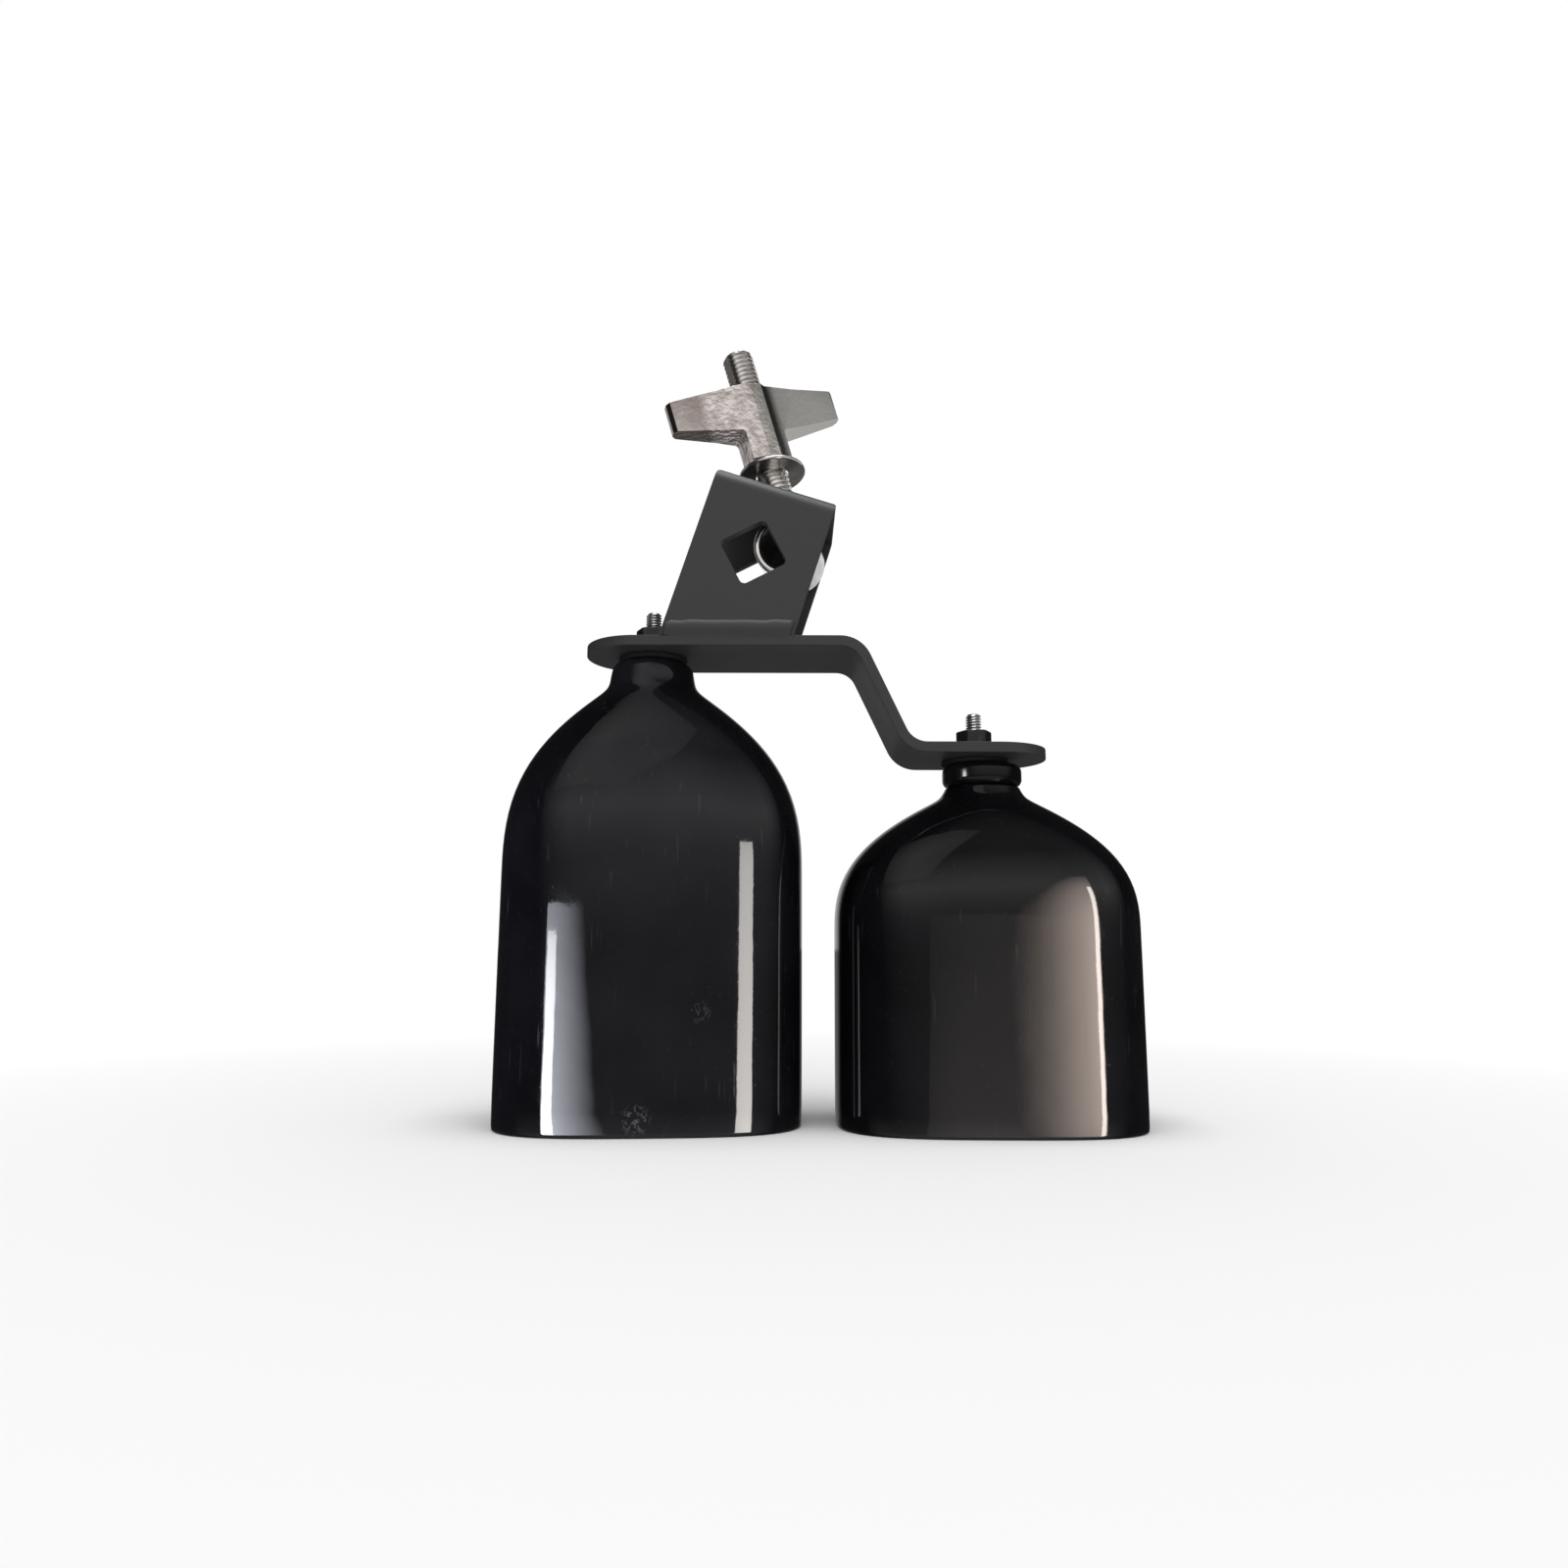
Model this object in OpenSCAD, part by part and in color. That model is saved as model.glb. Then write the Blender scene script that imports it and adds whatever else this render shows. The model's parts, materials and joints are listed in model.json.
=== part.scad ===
// Mountable double agogo bell: two oblong bells bolted under an offset bar
// with a welded rod clamp. Frame: X along the bar from the large bell to the
// small one, Y away from the viewer, Z up. Z = 0 is the plane of both mouths.
// All lengths are millimetres.

/* [Bar] */
// Width of the flat bar
bar_width = 27; // [24:0.5:32]
// Thickness of the flat bar
bar_thickness = 2.5; // [2:0.1:3.5]
// Height of the bar's upper surface above the mouths
bar_height = 115.9; // [112:0.1:124]
// Drop from the upper to the lower level
bar_drop = 26.1; // [24:0.1:30]
// Slope of the leg between the levels, in degrees
leg_angle = 65; // [60:1:70]
// Inner bend radius
bend_radius = 5.5; // [5:0.1:6]
// Distance between the two bell bolts
bell_pitch = 80.9; // [79:0.1:90]
// Bar end beyond the large bell's bolt
left_overhang = 16.6; // [14:0.1:20]
// Bar end beyond the small bell's bolt
right_overhang = 17.5; // [14:0.1:20]
// Start of the upper bend, from the large bell's bolt
bend_start = 46.9; // [45.5:0.1:48]

/* [Bells] */
// Half width of the large bell
large_half_width = 36.1; // [33:0.1:38]
// Half width of the small bell
small_half_width = 36.1; // [33:0.1:38]
// Half depth of both bells, front to back
bell_half_depth = 24.3; // [20:0.1:28]
// Sheet thickness of the bells
bell_wall = 1.2; // [0.8:0.1:1.6]
// Neck radius of the large bell
large_neck_radius = 10.3; // [9:0.1:12]
// Neck radius of the small bell
small_neck_radius = 9.4; // [8.5:0.1:11]
// Straight neck of the large bell above its shoulder
large_neck_height = 7; // [6:0.1:9]
// Straight neck of the small bell above its shoulder
small_neck_height = 2.7; // [2:0.1:5]
// Height of the large bell's shoulder
large_shoulder = 45; // [38:0.5:52]
// Height of the small bell's shoulder
small_shoulder = 31.5; // [26:0.5:38]
// Rounding at the top of the large neck
large_top_round = 2.4; // [1.5:0.1:3]
// Rounding at the top of the small neck
small_top_round = 0.9; // [0.5:0.1:1.5]

// How far the large bell's mouth stands right of its bolt
large_mouth_offset = 1.5; // [0:0.1:2]
// How far the small bell's neck and collar stand right of the bolt
small_neck_offset = 1.7; // [0:0.1:1.8]
// How far the small bell's mouth stands right of its bolt
small_mouth_offset = 1; // [0:0.1:2]
// Turn of the large bell about its bolt, in degrees
large_bell_turn = 5; // [0:0.5:6]

/* [Bell hardware] */
// Nominal diameter of the bell bolts
bolt_diameter = 4; // [3.5:0.1:5]
// Bolt end above the bar
bolt_rise = 9.35; // [8:0.05:12]
// Nut width across flats
nut_flats = 7.7; // [7:0.1:9]
// Nut height
nut_height = 3.8; // [3:0.1:5]
// Lock washer thickness
lock_thickness = 1.1; // [0.8:0.1:1.6]
// Lock washer outer radius
lock_radius = 4.2; // [3.8:0.1:5]
// Gasket thickness at the large bell
large_gasket_thickness = 1.5; // [1:0.1:2.5]
// Gasket radius at the large bell
large_gasket_radius = 8.6; // [7:0.1:9.5]
// Gasket thickness at the small bell
small_gasket_thickness = 1.2; // [0.8:0.1:2]
// Gasket radius at the small bell
small_gasket_radius = 8.2; // [7:0.1:9.5]
// Spacer ring height
spacer_height = 5.6; // [4.6:0.1:8]
// Spacer ring radius
spacer_radius = 9.75; // [9:0.05:11]
// Rounding of the spacer ring's edges
spacer_round = 1.9; // [0.5:0.1:2.1]
// Radius of the washers inside the bells
inner_washer_radius = 6; // [5:0.1:7]
// Thickness of the washers inside the bells
inner_washer_thickness = 1; // [0.8:0.1:1.6]
// Radius of the bolt heads
head_radius = 4.4; // [4:0.1:5]
// Height of the bolt heads
head_height = 3.2; // [2.5:0.1:4]

/* [Stirrup] */
// Lean of the stirrup to the right, in degrees
stirrup_lean = 17.7; // [15:0.1:19]
// Width of the stirrup's strip
stirrup_width = 31; // [29:0.1:33]
// Height of the stirrup along its lean
stirrup_height = 46; // [45:0.1:50]
// Thickness of the strip
strip_thickness = 2.5; // [2:0.1:3]
// Outer bend radius of the strip
strip_bend = 3.8; // [3.2:0.1:5]
// Rounding of the stirrup's upper corners, seen from the front
top_corner = 1.6; // [1:0.1:2.5]
// Left foot from the large bell's bolt
foot_start = 2.9; // [2.5:0.1:4]
// Side of the square rod holes
rod_hole_side = 12.4; // [11:0.1:13]
// Corner radius of the rod holes
rod_hole_corner = 1.3; // [0.8:0.1:2]
// Rod holes from the left edge of the strip
rod_hole_across = 15.3; // [15:0.1:16]
// Rod holes above the left foot, along the lean
rod_hole_up = 26.9; // [25:0.1:28]
// Length of the slot in the top
slot_length = 15.4; // [15:0.1:17]
// Width of the slot in the top
slot_width = 9; // [8.6:0.1:11]
// Height of the weld beads
weld_height = 4.2; // [3:0.1:5]
// How far the weld beads stand out
weld_bulge = 0.6; // [0.3:0.1:1]

/* [Clamp bolt] */
// Lean of the clamp stud to the left, in degrees
stud_lean = 16.1; // [15:0.1:17]
// Nominal diameter of the clamp stud
stud_diameter = 8; // [7:0.1:8.2]
// Length of the stud from the eye's centre to its tip
stud_length = 56.9; // [56.5:0.1:64]
// How far the stud stands right of the slot's middle
stud_slip = 1.5; // [0:0.1:1.6]
// Outer radius of the eye barrel
eye_radius = 8; // [7.3:0.1:8.1]
// Bore radius of the eye barrel
eye_bore = 6.1; // [5.3:0.1:6.3]
// Length of the eye barrel
eye_length = 18; // [16:0.1:18.4]
// Turn of the eye about the stud, in degrees
eye_turn = 9; // [0:0.5:10]
// How far the eye stands left of the stud's middle
eye_shift = 1.55; // [0:0.05:1.6]
// Middle of the clamp washer from the eye's centre
washer_start = 22.4; // [22.1:0.1:22.6]
// Washer radius
washer_radius = 8.7; // [7.5:0.1:9]
// Washer thickness
washer_thickness = 1; // [0.8:0.1:1.4]
// How far the loose washer leans against the stud's lean, in degrees
washer_lean = 7; // [0:0.5:8]
// How far the loose washer tips away from the viewer, in degrees
washer_tip = 7; // [0:0.5:8]
// Edge rounding of chromed and black pieces
edge_round = 0.5; // [0.3:0.1:0.8]

/* [Wing nut] */
// Half span of the wings
wing_half_span = 23.6; // [20:0.1:26]
// Height of the wing nut
wing_nut_height = 20.5; // [18:0.1:24]
// Foot of the nut from the eye's centre
nut_start = 25.1; // [25.1:0.1:30]
// Underside of the wings above the nut's foot
wing_start = 8.3; // [7:0.1:10]
// Half width of the hub
hub_half_width = 5.7; // [5:0.1:6.5]
// Distance of the hub's ridges from the stud
hub_ridge = 6.4; // [6:0.1:7]
// Fillet under the wings, beside the hub
wing_fillet = 1; // [0.5:0.1:2.5]
// Turn of the wings about the stud, in degrees
wing_turn = 16; // [0:0.5:45]

/* [Fits] */
// Clearance of a thread in its nut, radial
thread_clearance = 0.05; // [0.02:0.01:0.1]
// Clearance of a bolt in a plain hole, radial
hole_clearance = 0.25; // [0.1:0.05:0.4]
// Clearance of the eye under the stirrup's top plate
eye_gap = 0.3; // [0.3:0.05:1]

/* [Hidden] */

// Exponent of the bells' oblong section beyond a circle's 2.
oblong_share = 1.2;
section_power = 2 + oblong_share;
support_power = section_power / (section_power - 1);

// How far the turned large bell reaches along the bar from its middle.
large_reach = pow(
    pow(large_half_width * cos(large_bell_turn), support_power)
        + pow(bell_half_depth * sin(large_bell_turn), support_power),
    1 / support_power
);

// Places along the bar and heights above the mouths
large_x = (large_reach - small_half_width - large_mouth_offset - small_mouth_offset - bell_pitch) / 2;
small_x = large_x + bell_pitch;
low_height = bar_height - bar_drop;
large_top = bar_height - bar_thickness - large_gasket_thickness;
spacer_top = low_height - bar_thickness - small_gasket_thickness;
small_top = spacer_top - spacer_height;
bolt_radius = bolt_diameter / 2;
bolt_hole = bolt_radius + hole_clearance;
stud_radius = stud_diameter / 2;
thread_bore = stud_radius + thread_clearance;
far = 4 * bar_height;

// Sides of round shapes
round_sides = 48;
ring_sides = 60;
small_sides = 24;

// Colours
satin_black = [0.09, 0.09, 0.095];
gloss_black = [0.03, 0.03, 0.035];
chrome_grey = [0.75, 0.74, 0.73];
steel_grey = [0.62, 0.62, 0.61];
rubber_black = [0.05, 0.05, 0.05];

// Offset bar
bend_outer = bend_radius + bar_thickness;
leg_drop = bar_drop - (bend_outer + bend_radius) * (1 - cos(leg_angle));
leg_run = leg_drop / tan(leg_angle);
bend_run = (bend_outer + bend_radius) * sin(leg_angle);
low_start = bend_start + bend_run + leg_run;

// Steps round each bend.
bend_steps = 12;

// Points along an arc, from one angle to another.
function arc_points(centre, radius, from, to) = [
    for (i = [0:bend_steps])
        let (w = from + (to - from) * i / bend_steps)
        centre + radius * [cos(w), sin(w)]
];

// Side view of the bar, x from the large bell's bolt, y from the top face.
module bar_profile() {
    upper = [bend_start, -bend_outer];
    lower = [low_start, bend_radius - bar_drop];
    right_end = bell_pitch + right_overhang;
    polygon(concat(
        [[-left_overhang, 0]],
        arc_points(upper, bend_outer, 90, 90 - leg_angle),
        arc_points(lower, bend_radius, 270 - leg_angle, 270),
        [[right_end, -bar_drop], [right_end, -bar_drop - bar_thickness]],
        arc_points(lower, bend_outer, 270, 270 - leg_angle),
        arc_points(upper, bend_radius, 90 - leg_angle, 90),
        [[-left_overhang, -bar_thickness]]
    ));
}

// Plan of the bar, with rounded ends.
module bar_plan() {
    end_radius = bar_width / 2;
    translate([end_radius - left_overhang, 0])
        circle(r = end_radius, $fn = ring_sides);
    translate([bell_pitch + right_overhang - end_radius, 0])
        circle(r = end_radius, $fn = ring_sides);
    translate([end_radius - left_overhang, -end_radius])
        square([bell_pitch + left_overhang + right_overhang - bar_width, bar_width]);
}

module offset_bar() {
    color(satin_black)
        translate([large_x, 0, bar_height])
            difference() {
                intersection() {
                    rotate([90, 0, 0])
                        linear_extrude(bar_width, center = true)
                            bar_profile();
                    linear_extrude(far, center = true)
                        bar_plan();
                }
                cylinder(r = bolt_hole, h = far, center = true, $fn = small_sides);
                translate([bell_pitch, 0, 0])
                    cylinder(r = bolt_hole, h = far, center = true, $fn = small_sides);
            }
}

// Stirrup
inside_height = stirrup_height - strip_thickness;
inside_half = bar_width / 2 - strip_thickness;

// The stirrup's own frame: x across the strip, y away from the viewer,
// z along the lean, from the outer corner of the left foot.
module in_stirrup() {
    translate([large_x + foot_start, 0, bar_height])
        rotate([0, stirrup_lean, 0])
            children();
}

// Outline from below the bar to the stirrup's top, upper corners rounded.
module arch(half, top, radius) {
    foot = -stirrup_width;
    translate([-half, foot])
        square([2 * half, top - radius - foot]);
    translate([radius - half, foot])
        square([2 * (half - radius), top - foot]);
    translate([radius - half, top - radius])
        circle(r = radius, $fn = small_sides);
    translate([half - radius, top - radius])
        circle(r = radius, $fn = small_sides);
}

// Square with rounded corners.
module rounded_square(side, radius) {
    inner = side / 2 - radius;
    square([side, side - 2 * radius], center = true);
    square([side - 2 * radius, side], center = true);
    for (x = [-inner, inner])
        for (y = [-inner, inner])
            translate([x, y])
                circle(r = radius, $fn = small_sides);
}

module clamp_stirrup() {
    color(satin_black)
        difference() {
            in_stirrup()
                difference() {
                    intersection() {
                        rotate([90, 0, 90])
                            linear_extrude(stirrup_width)
                                difference() {
                                    arch(bar_width / 2, stirrup_height, strip_bend);
                                    arch(inside_half, inside_height, strip_bend - strip_thickness);
                                }
                        translate([stirrup_width / 2, 0, 0])
                            rotate([90, 0, 0])
                                linear_extrude(far, center = true)
                                    arch(stirrup_width / 2, stirrup_height, top_corner);
                    }
                    translate([rod_hole_across, 0, rod_hole_up])
                        rotate([90, 45, 0])
                            linear_extrude(far, center = true)
                                rounded_square(rod_hole_side, rod_hole_corner);
                    translate([stirrup_width / 2, 0, inside_height - strip_thickness])
                        linear_extrude(far) {
                            square([slot_length - slot_width, slot_width], center = true);
                            translate([(slot_length - slot_width) / 2, 0])
                                circle(r = slot_width / 2, $fn = round_sides);
                            translate([(slot_width - slot_length) / 2, 0])
                                circle(r = slot_width / 2, $fn = round_sides);
                        }
                }
            translate([-far / 2, -far / 2, bar_height - far])
                cube(far);
        }
}

// Bead radius from its height and how far it stands out.
bead_radius = (weld_height * weld_height / 4 + weld_bulge * weld_bulge) / (2 * weld_bulge);
weld_rise_share = 0.45;
weld_middle = bar_height + weld_rise_share * weld_height;

// Bead along the foot of the front strip, its ends leaning with the strip.
module weld_bead() {
    intersection() {
        translate([large_x, bead_radius - weld_bulge - bar_width / 2, weld_middle])
            rotate([0, 90, 0])
                cylinder(r = bead_radius, h = 2 * stirrup_width, $fn = ring_sides);
        in_stirrup()
            translate([weld_bulge, -bar_width / 2 - weld_height, -far / 2])
                cube([stirrup_width - 2 * weld_bulge, weld_height, far]);
    }
}

module stirrup_welds() {
    color(satin_black) {
        weld_bead();
        mirror([0, 1, 0])
            weld_bead();
    }
}

// Ring with a bore and slightly bevelled outer edges.
module disc(radius, bore, height, soft) {
    rotate_extrude($fn = round_sides)
        polygon([
            [bore, 0],
            [radius - soft, 0],
            [radius, soft],
            [radius, height - soft],
            [radius - soft, height],
            [bore, height]
        ]);
}

// Clamp bolt
// Eye centre below the middle of the top plate, along the stud.
stud_angle = stud_lean + stirrup_lean;
eye_end_rise = eye_length / 2 * sin(eye_turn) * sin(stud_angle);
eye_below = (strip_thickness / 2 + eye_gap + eye_radius + eye_end_rise) / cos(stud_angle);

// The stud's own frame: z along the stud from the eye's centre. The stud
// crosses the middle of the top plate beside the middle of the slot.
module in_stud() {
    in_stirrup()
        translate([stirrup_width / 2 + stud_slip, 0, stirrup_height - strip_thickness / 2])
            rotate([0, -stud_angle, 0])
                translate([0, 0, -eye_below])
                    children();
}

// The eye's axis lies across the stud, beside its middle and a little turned.
module eye_axis() {
    translate([-eye_shift, 0, 0])
        rotate([0, 0, -eye_turn])
            rotate([90, 0, 0])
                children();
}

module clamp_stud() {
    chamfer = stud_radius / 5;
    color(chrome_grey)
        in_stud()
            difference() {
                rotate_extrude($fn = round_sides)
                    polygon([
                        [0, eye_radius / 2],
                        [stud_radius, eye_radius / 2],
                        [stud_radius, stud_length - chamfer],
                        [stud_radius - chamfer, stud_length],
                        [0, stud_length]
                    ]);
                eye_axis()
                    cylinder(r = eye_radius, h = 2 * eye_length, center = true, $fn = ring_sides);
            }
}

module eye_barrel() {
    color(chrome_grey)
        in_stud()
            eye_axis()
                rotate_extrude($fn = ring_sides)
                    translate([0, -eye_length / 2])
                        polygon([
                            [eye_bore + edge_round, 0],
                            [eye_radius - edge_round, 0],
                            [eye_radius, edge_round],
                            [eye_radius, eye_length - edge_round],
                            [eye_radius - edge_round, eye_length],
                            [eye_bore + edge_round, eye_length],
                            [eye_bore, eye_length - edge_round],
                            [eye_bore, edge_round]
                        ]);
}

module clamp_washer() {
    color(chrome_grey)
        in_stud()
            translate([0, 0, washer_start])
                rotate([-washer_tip, washer_lean, 0])
                    translate([0, 0, -washer_thickness / 2])
                        disc(
                            washer_radius, stud_radius + hole_clearance,
                            washer_thickness, washer_thickness / 5
                        );
}

// Shares of the half span and of the ridge distance: one half of the plan,
// the other half is the same turned by half a turn.
wing_plan_shares = [
    [-1, -0.14], [-1, -0.42], [-0.96, -0.6], [-0.05, -0.95],
    [0.09, -0.82], [0.15, -0.6], [0.26, -0.46], [0.5, -0.26], [0.965, -0.02]
];
// Shares of the half span and of the wing's height, seen from the front.
wing_tip_low_share = 0.22;
wing_tip_high_share = 0.87;

// Plan of the nut: two swept wings on opposite faces of the hub.
module wing_plan() {
    half = [for (s = wing_plan_shares) [s[0] * wing_half_span, s[1] * hub_ridge]];
    polygon(concat(half, [for (p = half) -p]));
}

// Steps round the fillet between the hub and a wing.
fillet_angles = [0, 30, 60, 90];

// Front view of the nut.
module wing_front() {
    rise = wing_nut_height - wing_start;
    low = wing_start + wing_tip_low_share * rise;
    high = wing_start + wing_tip_high_share * rise;
    fillet = [for (w = fillet_angles) wing_fillet * [1 - cos(w), sin(w) - 1]];
    side = concat(
        [[hub_half_width, 0]],
        [for (f = fillet) [hub_half_width + f[0], wing_start + f[1]]],
        [
            [wing_half_span, low],
            [wing_half_span, high],
            [hub_half_width, wing_nut_height]
        ]
    );
    polygon(concat(side, [for (i = [len(side) - 1:-1:0]) [-side[i][0], side[i][1]]]));
}

module wing_nut() {
    color(chrome_grey)
        in_stud()
            translate([0, 0, nut_start])
                difference() {
                    rotate([0, 0, wing_turn])
                        intersection() {
                            linear_extrude(wing_nut_height)
                                wing_plan();
                            rotate([90, 0, 0])
                                linear_extrude(4 * hub_ridge, center = true)
                                    wing_front();
                        }
                    cylinder(r = thread_bore, h = far, center = true, $fn = round_sides);
                }
}

// Bells
// Shoulder profile: power of the curve and softness of its start, as shares.
shoulder_power_share = 2.6;
neck_soft_share = 0.035;

// Share of the full width reached at a share of the way down the shoulder.
function spread(s) =
    let (t = (s + sqrt(s * s + neck_soft_share * neck_soft_share)) / 2)
    1 - pow(max(0, 1 - t), shoulder_power_share);

// Steps down the shoulder, closer together near the neck.
shoulder_shares = [
    -0.06, -0.03, 0, 0.03, 0.06, 0.1, 0.15, 0.21, 0.28, 0.36, 0.45, 0.55, 0.66, 0.78, 0.9, 1
];
round_angles = [0, 30, 60, 90];

// One ring of the bell: [height, half width, half depth, exponent, offset].
function shoulder_ring(s, start, fall, neck, half, shifts) =
    let (g = spread(s))
    [
        start - s * fall,
        neck + (half - neck) * g,
        neck + (bell_half_depth - neck) * g,
        2 + oblong_share * g,
        shifts[0] + (shifts[1] - shifts[0]) * g
    ];

// Rings of the outside, from the bolt hole to just above the mouth. The neck
// and the mouth are shifted across from the bolt by the two shifts.
function outer_rings(top, neck, neck_fall, fall, half, soft, shifts) = concat(
    [[top, bolt_hole, bolt_hole, 2, 0]],
    [for (w = round_angles)
        let (r = neck - soft + soft * sin(w))
        [top - soft + soft * cos(w), r, r, 2, shifts[0]]],
    [for (s = shoulder_shares)
        if (neck_fall + s * fall > soft + bell_wall / 4)
            shoulder_ring(s, top - neck_fall, fall, neck, half, shifts)],
    [for (z = [(top - neck_fall - fall) * 4 / 5, (top - neck_fall - fall) / 2, bell_wall / 2])
        [z, half, bell_half_depth, section_power, shifts[1]]]
);

// Flat seat inside the crown for the washer.
washer_seat = inner_washer_radius + hole_clearance;

// Direction square to the profile at ring i, pointing inwards.
function inward(rings, i) =
    let (a = rings[max(1, i - 1)])
    let (b = rings[min(len(rings) - 1, i + 1)])
    let (d = [b[1] - a[1], b[0] - a[0]])
    [d[1], -d[0]] / norm(d);

// Rings of the inside, from the mouth up to the bolt hole.
function inner_rings(rings, top) = concat(
    [for (i = [len(rings) - 1:-1:1])
        let (q = inward(rings, i))
        let (r = rings[i])
        if (i == len(rings) - 1 || r[0] < top - 1.6 * bell_wall)
            [
                r[0] + bell_wall * q[1],
                r[1] + bell_wall * q[0],
                r[2] + bell_wall * q[0],
                r[3],
                r[4]
            ]],
    [[top - bell_wall, washer_seat, washer_seat, 2, 0]],
    [[top - bell_wall, bolt_hole, bolt_hole, 2, 0]]
);

function powered(v, e) = sign(v) * pow(abs(v), e);

// Points of one oblong ring, turned about its own middle.
function ring_points(r, turn) = [
    for (k = [0:ring_sides - 1])
        let (w = 360 * k / ring_sides)
        let (x = r[1] * powered(cos(w), 2 / r[3]))
        let (y = r[2] * powered(sin(w), 2 / r[3]))
        [r[4] + x * cos(turn) - y * sin(turn), x * sin(turn) + y * cos(turn), r[0]]
];

// Rounded mouth: shares of the wall, inwards and upwards.
lip_shares = [[1 / 8, 1 / 4], [1 / 3, 0], [2 / 3, 0], [7 / 8, 1 / 4]];

// Closed wall of a bell: from the bolt hole down the outside, round the
// mouth and up the inside.
module bell_shell(top, neck, neck_fall, fall, half, soft, shifts, turn) {
    outer = outer_rings(top, neck, neck_fall, fall, half, soft, shifts);
    lip = [
        for (s = lip_shares)
            let (inset = s[0] * bell_wall)
            [
                s[1] * bell_wall,
                half - inset,
                bell_half_depth - inset,
                section_power,
                shifts[1]
            ]
    ];
    rings = concat(outer, lip, inner_rings(outer, top));
    n = ring_sides;
    m = len(rings);
    points = [for (r = rings) each ring_points(r, turn)];
    faces = [
        for (i = [0:m - 1])
            for (k = [0:n - 1])
                let (j = (i + 1) % m)
                let (l = (k + 1) % n)
                each [
                    [i * n + k, j * n + k, j * n + l],
                    [i * n + k, j * n + l, i * n + l]
                ]
    ];
    polyhedron(points = points, faces = faces, convexity = 6);
}

module large_bell() {
    color(gloss_black)
        translate([large_x, 0, 0])
            bell_shell(
                large_top, large_neck_radius, large_neck_height,
                large_shoulder, large_half_width, large_top_round,
                [0, large_mouth_offset], large_bell_turn
            );
}

module small_bell() {
    color(gloss_black)
        translate([small_x, 0, 0])
            bell_shell(
                small_top, small_neck_radius, small_neck_height,
                small_shoulder, small_half_width, small_top_round,
                [small_neck_offset, small_mouth_offset], 0
            );
}

// Bell hardware
module large_bell_gasket() {
    color(rubber_black)
        translate([large_x, 0, large_top])
            disc(large_gasket_radius, bolt_hole, large_gasket_thickness, large_gasket_thickness / 5);
}

module small_bell_gasket() {
    color(rubber_black)
        translate([small_x, 0, spacer_top])
            disc(small_gasket_radius, bolt_hole, small_gasket_thickness, small_gasket_thickness / 5);
}

module small_bell_spacer() {
    color(gloss_black)
        translate([small_x, 0, small_top])
            difference() {
                translate([small_neck_offset, 0, 0])
                    rotate_extrude($fn = round_sides) {
                        square([spacer_radius - spacer_round, spacer_height]);
                        translate([0, spacer_round])
                            square([spacer_radius, spacer_height - 2 * spacer_round]);
                        for (y = [spacer_round, spacer_height - spacer_round])
                            translate([spacer_radius - spacer_round, y])
                                circle(r = spacer_round, $fn = small_sides);
                    }
                cylinder(r = bolt_hole, h = far, center = true, $fn = small_sides);
            }
}

// Outline of a rounded bolt head: shares of its radius and of its height.
head_shares = [[0, 1], [0.7, 1], [0.93, 0.8], [1, 0.45], [1, 0]];

// A bolt whose rounded head sits below and whose shank rises through the bar.
module bell_bolt(seat, rise) {
    chamfer = bolt_radius / 4;
    head = [for (s = head_shares) [s[0] * head_radius, -s[1] * head_height]];
    translate([0, 0, seat])
        rotate_extrude($fn = round_sides)
            polygon(concat(head, [
                [bolt_radius, 0],
                [bolt_radius, rise - seat - chamfer],
                [bolt_radius - chamfer, rise - seat],
                [0, rise - seat]
            ]));
}

module large_bell_bolt() {
    color(steel_grey)
        translate([large_x, 0, 0])
            bell_bolt(large_top - bell_wall - inner_washer_thickness, bar_height + bolt_rise);
}

module small_bell_bolt() {
    color(steel_grey)
        translate([small_x, 0, 0])
            bell_bolt(small_top - bell_wall - inner_washer_thickness, low_height + bolt_rise);
}

module inner_washer() {
    disc(inner_washer_radius, bolt_hole, inner_washer_thickness, inner_washer_thickness / 5);
}

module large_bell_washer() {
    color(steel_grey)
        translate([large_x, 0, large_top - bell_wall - inner_washer_thickness])
            inner_washer();
}

module small_bell_washer() {
    color(steel_grey)
        translate([small_x, 0, small_top - bell_wall - inner_washer_thickness])
            inner_washer();
}

// Spring washer: a ring cut through by one narrow slanting gap.
lock_gap_slant = 20;

module lock_washer() {
    difference() {
        disc(lock_radius, bolt_hole, lock_thickness, lock_thickness / 6);
        translate([0, bolt_radius, lock_thickness / 2])
            rotate([0, lock_gap_slant, 0])
                translate([-lock_thickness / 4, 0, -lock_thickness * 2])
                    cube([lock_thickness / 2, lock_radius * 2, lock_thickness * 4]);
    }
}

module large_lock_washer() {
    color(steel_grey)
        translate([large_x, 0, bar_height])
            lock_washer();
}

module small_lock_washer() {
    color(steel_grey)
        translate([small_x, 0, low_height])
            lock_washer();
}

// Hexagon nut with bevelled corners.
module hex_nut() {
    corner = nut_flats / 2 / cos(30);
    chamfer = (corner - nut_flats / 2) * 0.6;
    difference() {
        intersection() {
            cylinder(r = corner, h = nut_height, $fn = 6);
            rotate_extrude($fn = round_sides)
                polygon([
                    [0, 0],
                    [corner - chamfer, 0],
                    [corner + chamfer, chamfer],
                    [corner + chamfer, nut_height - chamfer],
                    [corner - chamfer, nut_height],
                    [0, nut_height]
                ]);
        }
        cylinder(r = bolt_radius + thread_clearance, h = far, center = true, $fn = small_sides);
    }
}

module large_bell_nut() {
    color(steel_grey)
        translate([large_x, 0, bar_height + lock_thickness])
            hex_nut();
}

module small_bell_nut() {
    color(steel_grey)
        translate([small_x, 0, low_height + lock_thickness])
            hex_nut();
}

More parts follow.
